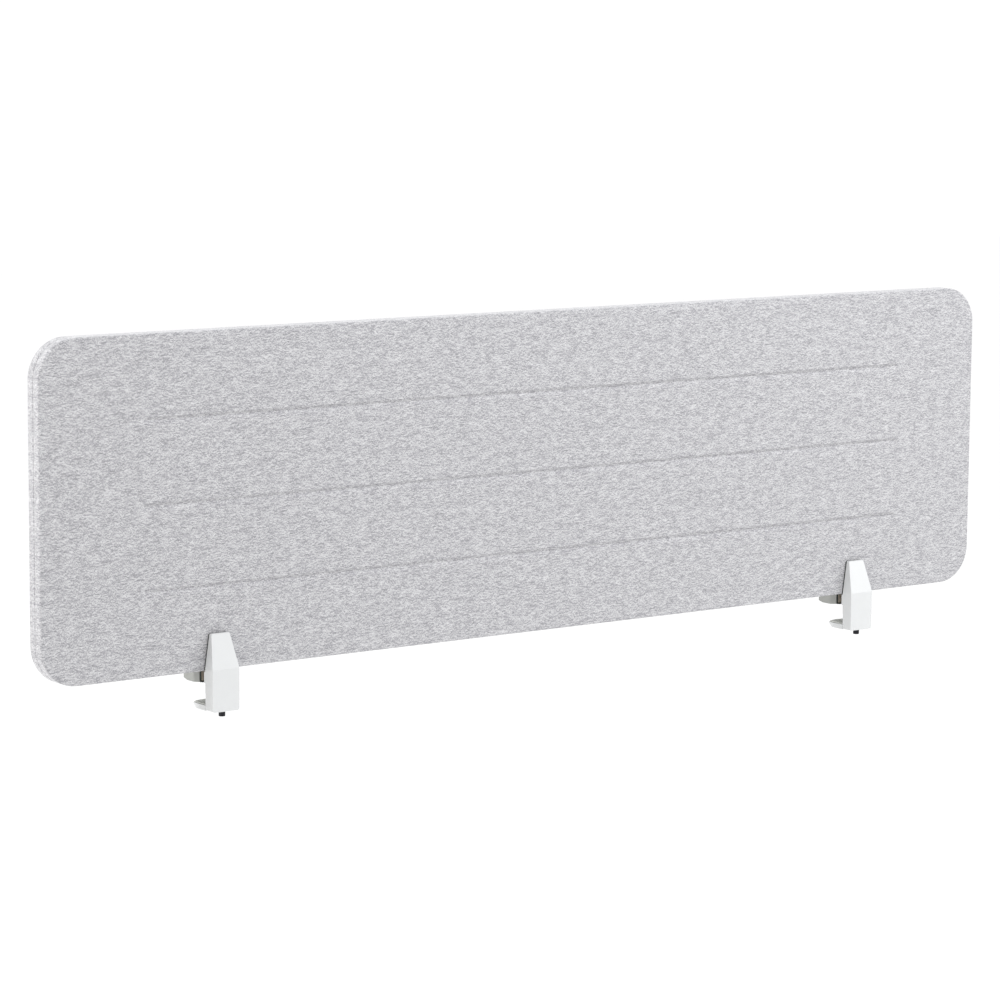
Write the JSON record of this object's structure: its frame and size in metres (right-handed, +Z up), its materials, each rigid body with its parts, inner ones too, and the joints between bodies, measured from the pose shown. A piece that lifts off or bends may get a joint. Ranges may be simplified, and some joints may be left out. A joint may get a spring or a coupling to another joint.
{
  "type": "desk privacy panel",
  "caption": "Fabric-covered desk privacy panel with long pressed grooves, held on a desk's edge by sliding screw clamps.",
  "frame": {"origin": "middle of the panel's length and thickness, on the plane of the desk top that both clamps grip", "axes": "+Z up, X along the panel, -Y towards the panel's outer face, +Y over the desk"},
  "size_m": [1.44, 0.0676, 0.4539],
  "materials": {
    "fabric": "pale grey heather, short horizontal flecks",
    "felt": "pressed polyester felt",
    "board": "plain",
    "white": "white powder coat, satin",
    "rubber": "matte",
    "grey_rubber": "matte",
    "black": "blackened steel",
    "steel": "turned"
  },
  "bodies": {
    "panel": {"front_fabric": "fabric", "rear_fabric": "fabric", "front_felt_shell": "felt", "rear_felt_shell": "felt", "core_board": "board"},
    "left_clamp": {"left_clamp_body": "white", "left_front_pad": "rubber", "left_guide_sleeve_a": "steel", "left_guide_sleeve_b": "steel"},
    "left_back": {"left_rear_jaw": "white", "left_rear_pad": "rubber", "left_desk_pad": "rubber"},
    "left_bolt_a": {"left_panel_bolt_a": "black"},
    "left_bolt_b": {"left_panel_bolt_b": "black"},
    "left_jaw": {"left_lower_jaw": "white", "left_jaw_pad": "grey_rubber"},
    "left_screw": {"left_jaw_screw": "black", "left_screw_clip": "steel"},
    "right_clamp": {"right_clamp_body": "white", "right_front_pad": "rubber", "right_guide_sleeve_a": "steel", "right_guide_sleeve_b": "steel"},
    "right_back": {"right_rear_jaw": "white", "right_rear_pad": "rubber", "right_desk_pad": "rubber"},
    "right_bolt_a": {"right_panel_bolt_a": "black"},
    "right_bolt_b": {"right_panel_bolt_b": "black"},
    "right_jaw": {"right_lower_jaw": "white", "right_jaw_pad": "grey_rubber"},
    "right_screw": {"right_jaw_screw": "black", "right_screw_clip": "steel"}
  },
  "joints": [
    {"name": "left_clamp_slide", "type": "slide", "parent": "panel", "child": "left_clamp", "axis": [1, 0, 0], "range_m": [-0.17, 0.31]},
    {"name": "left_grip_slide", "type": "slide", "parent": "left_clamp", "child": "left_back", "axis": [0, 1, 0], "range_m": [0, 0.006]},
    {"name": "left_bolt_a_turn", "type": "hinge", "parent": "left_back", "child": "left_bolt_a", "pos_m": [-0.4925, 0.0188, 0.0106], "axis": [0, 1, 0], "range_deg": [0, 2700]},
    {"name": "left_bolt_b_turn", "type": "hinge", "parent": "left_back", "child": "left_bolt_b", "pos_m": [-0.4755, 0.0188, 0.0106], "axis": [0, 1, 0], "range_deg": [0, 2700]},
    {"name": "left_jaw_lift", "type": "slide", "parent": "left_clamp", "child": "left_jaw", "axis": [0, 0, 1], "range_m": [0, 0.014]},
    {"name": "left_screw_turn", "type": "hinge", "parent": "left_jaw", "child": "left_screw", "pos_m": [-0.484, -0.0217, -0.0305], "axis": [0, 0, 1], "range_deg": [0, 5040]},
    {"name": "right_clamp_slide", "type": "slide", "parent": "panel", "child": "right_clamp", "axis": [1, 0, 0], "range_m": [-0.34, 0.136]},
    {"name": "right_grip_slide", "type": "slide", "parent": "right_clamp", "child": "right_back", "axis": [0, 1, 0], "range_m": [0, 0.006]},
    {"name": "right_bolt_a_turn", "type": "hinge", "parent": "right_back", "child": "right_bolt_a", "pos_m": [0.5025, 0.0188, 0.0106], "axis": [0, 1, 0], "range_deg": [0, 2700]},
    {"name": "right_bolt_b_turn", "type": "hinge", "parent": "right_back", "child": "right_bolt_b", "pos_m": [0.5195, 0.0188, 0.0106], "axis": [0, 1, 0], "range_deg": [0, 2700]},
    {"name": "right_jaw_lift", "type": "slide", "parent": "right_clamp", "child": "right_jaw", "axis": [0, 0, 1], "range_m": [0, 0.014]},
    {"name": "right_screw_turn", "type": "hinge", "parent": "right_jaw", "child": "right_screw", "pos_m": [0.511, -0.0217, -0.0305], "axis": [0, 0, 1], "range_deg": [0, 5040]}
  ],
  "couplings": [
    {"joint": "left_bolt_a_turn", "follows": "left_grip_slide", "rad_per_m": 7854},
    {"joint": "left_bolt_b_turn", "follows": "left_grip_slide", "rad_per_m": 7854},
    {"joint": "left_screw_turn", "follows": "left_jaw_lift", "rad_per_m": 6283.2},
    {"joint": "right_bolt_a_turn", "follows": "right_grip_slide", "rad_per_m": 7854},
    {"joint": "right_bolt_b_turn", "follows": "right_grip_slide", "rad_per_m": 7854},
    {"joint": "right_screw_turn", "follows": "right_jaw_lift", "rad_per_m": 6283.2}
  ]
}
